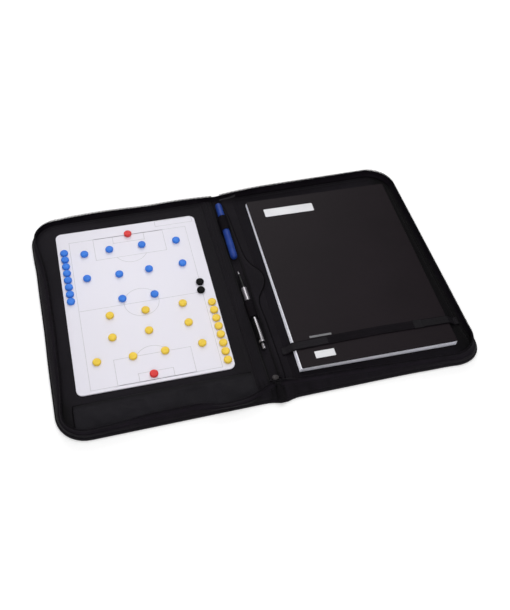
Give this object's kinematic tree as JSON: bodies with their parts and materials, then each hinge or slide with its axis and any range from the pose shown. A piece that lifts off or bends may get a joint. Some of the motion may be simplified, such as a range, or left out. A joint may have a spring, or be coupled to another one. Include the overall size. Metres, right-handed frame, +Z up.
{
  "type": "coaching wallet",
  "caption": "Zip-round folding wallet, open flat: magnet pitch board with round player pieces on the left, paper pad under an elastic strap on the right, marker and pen on the spine",
  "frame": {"origin": "on the table, under the middle of the spine, midway between the near and far edges", "axes": "X right across the open wallet, Y away from the reader, Z up out of the open covers"},
  "size_m": [0.537, 0.3611, 0.0229],
  "materials": {
    "shell_fabric": "matt woven, black",
    "lining_fabric": "matt close weave, black",
    "elastic_band": "ribbed elastic, black",
    "board_face": "smooth dry-wipe, white",
    "paper": "stacked paper, white",
    "pad_card": "grained card cover, near black",
    "piece_blue": "satin moulded, blue",
    "piece_yellow": "satin moulded, yellow",
    "piece_red": "satin moulded, red",
    "piece_black": "satin moulded, black",
    "marker_plastic": "smooth, deep blue",
    "pen_plastic": "smooth, black",
    "pen_metal": "polished",
    "zip_metal": "dark grey, satin",
    "pull_tab": "matt moulded, black"
  },
  "bodies": {
    "right_half": {"right_cover": "shell_fabric", "right_gusset": "shell_fabric", "right_lining": "lining_fabric", "elastic_strap": "elastic_band"},
    "spine": {"spine_cover": "shell_fabric", "pen_panel": "lining_fabric"},
    "left_half": {"left_cover": "shell_fabric", "left_gusset": "shell_fabric", "left_lining": "lining_fabric", "card_pocket": "lining_fabric", "magnet_board": "board_face"},
    "zip_tail": {"zip_stop": "zip_metal"},
    "zip_slider": {"zip_slider": "zip_metal"},
    "zip_pull": {"zip_pull": "pull_tab"},
    "marker": {"marker_barrel": "marker_plastic"},
    "marker_cap": {"marker_cap": "marker_plastic"},
    "pad": {"note_pad": "paper", "pad_cover": "pad_card"},
    "pen": {"pen_barrel": "pen_plastic"},
    "pen_refill": {"pen_refill": "pen_metal"},
    "player_blue_01": {"player_blue_01": "piece_blue"},
    "player_blue_02": {"player_blue_02": "piece_blue"},
    "player_blue_03": {"player_blue_03": "piece_blue"},
    "player_blue_04": {"player_blue_04": "piece_blue"},
    "player_blue_05": {"player_blue_05": "piece_blue"},
    "player_blue_06": {"player_blue_06": "piece_blue"},
    "player_blue_07": {"player_blue_07": "piece_blue"},
    "player_blue_08": {"player_blue_08": "piece_blue"},
    "player_blue_09": {"player_blue_09": "piece_blue"},
    "player_blue_10": {"player_blue_10": "piece_blue"},
    "player_blue_11": {"player_blue_11": "piece_blue"},
    "player_blue_12": {"player_blue_12": "piece_blue"},
    "player_blue_13": {"player_blue_13": "piece_blue"},
    "player_blue_14": {"player_blue_14": "piece_blue"},
    "player_blue_15": {"player_blue_15": "piece_blue"},
    "player_blue_16": {"player_blue_16": "piece_blue"},
    "player_blue_17": {"player_blue_17": "piece_blue"},
    "player_blue_18": {"player_blue_18": "piece_blue"},
    "player_yellow_01": {"player_yellow_01": "piece_yellow"},
    "player_yellow_02": {"player_yellow_02": "piece_yellow"},
    "player_yellow_03": {"player_yellow_03": "piece_yellow"},
    "player_yellow_04": {"player_yellow_04": "piece_yellow"},
    "player_yellow_05": {"player_yellow_05": "piece_yellow"},
    "player_yellow_06": {"player_yellow_06": "piece_yellow"},
    "player_yellow_07": {"player_yellow_07": "piece_yellow"},
    "player_yellow_08": {"player_yellow_08": "piece_yellow"},
    "player_yellow_09": {"player_yellow_09": "piece_yellow"},
    "player_yellow_10": {"player_yellow_10": "piece_yellow"},
    "player_yellow_11": {"player_yellow_11": "piece_yellow"},
    "player_yellow_12": {"player_yellow_12": "piece_yellow"},
    "player_yellow_13": {"player_yellow_13": "piece_yellow"},
    "player_yellow_14": {"player_yellow_14": "piece_yellow"},
    "player_yellow_15": {"player_yellow_15": "piece_yellow"},
    "player_yellow_16": {"player_yellow_16": "piece_yellow"},
    "player_yellow_17": {"player_yellow_17": "piece_yellow"},
    "player_yellow_18": {"player_yellow_18": "piece_yellow"},
    "player_red_01": {"player_red_01": "piece_red"},
    "player_red_02": {"player_red_02": "piece_red"},
    "player_black_01": {"player_black_01": "piece_black"},
    "player_black_02": {"player_black_02": "piece_black"}
  },
  "joints": [
    {"name": "cover_fold", "type": "hinge", "parent": "spine", "child": "left_half", "pos_m": [-0.018, 0, 0.0005], "axis": [0, -1, 0], "range_deg": [-90, 0]},
    {"name": "spine_fold", "type": "hinge", "parent": "right_half", "child": "spine", "pos_m": [0.018, 0, 0.0005], "axis": [0, -1, 0], "range_deg": [-90, 0]},
    {"name": "closure_tail_shift", "type": "slide", "parent": "right_half", "child": "zip_tail", "axis": [0.9982, -0.0599, 0], "range_m": [0, 0.03606]},
    {"name": "closure_slider_travel", "type": "slide", "parent": "zip_tail", "child": "zip_slider", "axis": [0.9982, -0.0599, 0], "range_m": [0, 0.19]},
    {"name": "closure_pull_swing", "type": "hinge", "parent": "zip_slider", "child": "zip_pull", "pos_m": [-0.00034, -0.16359, 0.02], "axis": [-0.9982, 0.0599, 0], "range_deg": [0, 130]},
    {"name": "marker_cap_pull", "type": "slide", "parent": "marker", "child": "marker_cap", "axis": [0, 1, 0], "range_m": [0, 0.012]},
    {"name": "marker_slide", "type": "slide", "parent": "spine", "child": "marker", "axis": [0, -1, 0], "range_m": [0, 0.022]},
    {"name": "pad_slide", "type": "slide", "parent": "right_half", "child": "pad", "axis": [0.0246, 0.9997, 0], "range_m": [-0.007, 0.018]},
    {"name": "pen_click", "type": "slide", "parent": "pen", "child": "pen_refill", "axis": [0, -1, 0], "range_m": [0, 0.006]},
    {"name": "pen_slide", "type": "slide", "parent": "spine", "child": "pen", "axis": [0, -1, 0], "range_m": [0, 0.03]},
    {"name": "player_blue_01_lift", "type": "slide", "parent": "left_half", "child": "player_blue_01", "axis": [0, 0, 1], "range_m": [0, 0.02]},
    {"name": "player_blue_02_lift", "type": "slide", "parent": "left_half", "child": "player_blue_02", "axis": [0, 0, 1], "range_m": [0, 0.02]},
    {"name": "player_blue_03_lift", "type": "slide", "parent": "left_half", "child": "player_blue_03", "axis": [0, 0, 1], "range_m": [0, 0.02]},
    {"name": "player_blue_04_lift", "type": "slide", "parent": "left_half", "child": "player_blue_04", "axis": [0, 0, 1], "range_m": [0, 0.02]},
    {"name": "player_blue_05_lift", "type": "slide", "parent": "left_half", "child": "player_blue_05", "axis": [0, 0, 1], "range_m": [0, 0.02]},
    {"name": "player_blue_06_lift", "type": "slide", "parent": "left_half", "child": "player_blue_06", "axis": [0, 0, 1], "range_m": [0, 0.02]},
    {"name": "player_blue_07_lift", "type": "slide", "parent": "left_half", "child": "player_blue_07", "axis": [0, 0, 1], "range_m": [0, 0.02]},
    {"name": "player_blue_08_lift", "type": "slide", "parent": "left_half", "child": "player_blue_08", "axis": [0, 0, 1], "range_m": [0, 0.02]},
    {"name": "player_blue_09_lift", "type": "slide", "parent": "left_half", "child": "player_blue_09", "axis": [0, 0, 1], "range_m": [0, 0.02]},
    {"name": "player_blue_10_lift", "type": "slide", "parent": "left_half", "child": "player_blue_10", "axis": [0, 0, 1], "range_m": [0, 0.02]},
    {"name": "player_blue_11_lift", "type": "slide", "parent": "left_half", "child": "player_blue_11", "axis": [0, 0, 1], "range_m": [0, 0.02]},
    {"name": "player_blue_12_lift", "type": "slide", "parent": "left_half", "child": "player_blue_12", "axis": [0, 0, 1], "range_m": [0, 0.02]},
    {"name": "player_blue_13_lift", "type": "slide", "parent": "left_half", "child": "player_blue_13", "axis": [0, 0, 1], "range_m": [0, 0.02]},
    {"name": "player_blue_14_lift", "type": "slide", "parent": "left_half", "child": "player_blue_14", "axis": [0, 0, 1], "range_m": [0, 0.02]},
    {"name": "player_blue_15_lift", "type": "slide", "parent": "left_half", "child": "player_blue_15", "axis": [0, 0, 1], "range_m": [0, 0.02]},
    {"name": "player_blue_16_lift", "type": "slide", "parent": "left_half", "child": "player_blue_16", "axis": [0, 0, 1], "range_m": [0, 0.02]},
    {"name": "player_blue_17_lift", "type": "slide", "parent": "left_half", "child": "player_blue_17", "axis": [0, 0, 1], "range_m": [0, 0.02]},
    {"name": "player_blue_18_lift", "type": "slide", "parent": "left_half", "child": "player_blue_18", "axis": [0, 0, 1], "range_m": [0, 0.02]},
    {"name": "player_yellow_01_lift", "type": "slide", "parent": "left_half", "child": "player_yellow_01", "axis": [0, 0, 1], "range_m": [0, 0.02]},
    {"name": "player_yellow_02_lift", "type": "slide", "parent": "left_half", "child": "player_yellow_02", "axis": [0, 0, 1], "range_m": [0, 0.02]},
    {"name": "player_yellow_03_lift", "type": "slide", "parent": "left_half", "child": "player_yellow_03", "axis": [0, 0, 1], "range_m": [0, 0.02]},
    {"name": "player_yellow_04_lift", "type": "slide", "parent": "left_half", "child": "player_yellow_04", "axis": [0, 0, 1], "range_m": [0, 0.02]},
    {"name": "player_yellow_05_lift", "type": "slide", "parent": "left_half", "child": "player_yellow_05", "axis": [0, 0, 1], "range_m": [0, 0.02]},
    {"name": "player_yellow_06_lift", "type": "slide", "parent": "left_half", "child": "player_yellow_06", "axis": [0, 0, 1], "range_m": [0, 0.02]},
    {"name": "player_yellow_07_lift", "type": "slide", "parent": "left_half", "child": "player_yellow_07", "axis": [0, 0, 1], "range_m": [0, 0.02]},
    {"name": "player_yellow_08_lift", "type": "slide", "parent": "left_half", "child": "player_yellow_08", "axis": [0, 0, 1], "range_m": [0, 0.02]},
    {"name": "player_yellow_09_lift", "type": "slide", "parent": "left_half", "child": "player_yellow_09", "axis": [0, 0, 1], "range_m": [0, 0.02]},
    {"name": "player_yellow_10_lift", "type": "slide", "parent": "left_half", "child": "player_yellow_10", "axis": [0, 0, 1], "range_m": [0, 0.02]},
    {"name": "player_yellow_11_lift", "type": "slide", "parent": "left_half", "child": "player_yellow_11", "axis": [0, 0, 1], "range_m": [0, 0.02]},
    {"name": "player_yellow_12_lift", "type": "slide", "parent": "left_half", "child": "player_yellow_12", "axis": [0, 0, 1], "range_m": [0, 0.02]},
    {"name": "player_yellow_13_lift", "type": "slide", "parent": "left_half", "child": "player_yellow_13", "axis": [0, 0, 1], "range_m": [0, 0.02]},
    {"name": "player_yellow_14_lift", "type": "slide", "parent": "left_half", "child": "player_yellow_14", "axis": [0, 0, 1], "range_m": [0, 0.02]},
    {"name": "player_yellow_15_lift", "type": "slide", "parent": "left_half", "child": "player_yellow_15", "axis": [0, 0, 1], "range_m": [0, 0.02]},
    {"name": "player_yellow_16_lift", "type": "slide", "parent": "left_half", "child": "player_yellow_16", "axis": [0, 0, 1], "range_m": [0, 0.02]},
    {"name": "player_yellow_17_lift", "type": "slide", "parent": "left_half", "child": "player_yellow_17", "axis": [0, 0, 1], "range_m": [0, 0.02]},
    {"name": "player_yellow_18_lift", "type": "slide", "parent": "left_half", "child": "player_yellow_18", "axis": [0, 0, 1], "range_m": [0, 0.02]},
    {"name": "player_red_01_lift", "type": "slide", "parent": "left_half", "child": "player_red_01", "axis": [0, 0, 1], "range_m": [0, 0.02]},
    {"name": "player_red_02_lift", "type": "slide", "parent": "left_half", "child": "player_red_02", "axis": [0, 0, 1], "range_m": [0, 0.02]},
    {"name": "player_black_01_lift", "type": "slide", "parent": "left_half", "child": "player_black_01", "axis": [0, 0, 1], "range_m": [0, 0.02]},
    {"name": "player_black_02_lift", "type": "slide", "parent": "left_half", "child": "player_black_02", "axis": [0, 0, 1], "range_m": [0, 0.02]}
  ],
  "couplings": [
    {"joint": "spine_fold", "follows": "cover_fold", "ratio": 1},
    {"joint": "closure_tail_shift", "follows": "cover_fold", "m_per_rad": -0.02296}
  ]
}
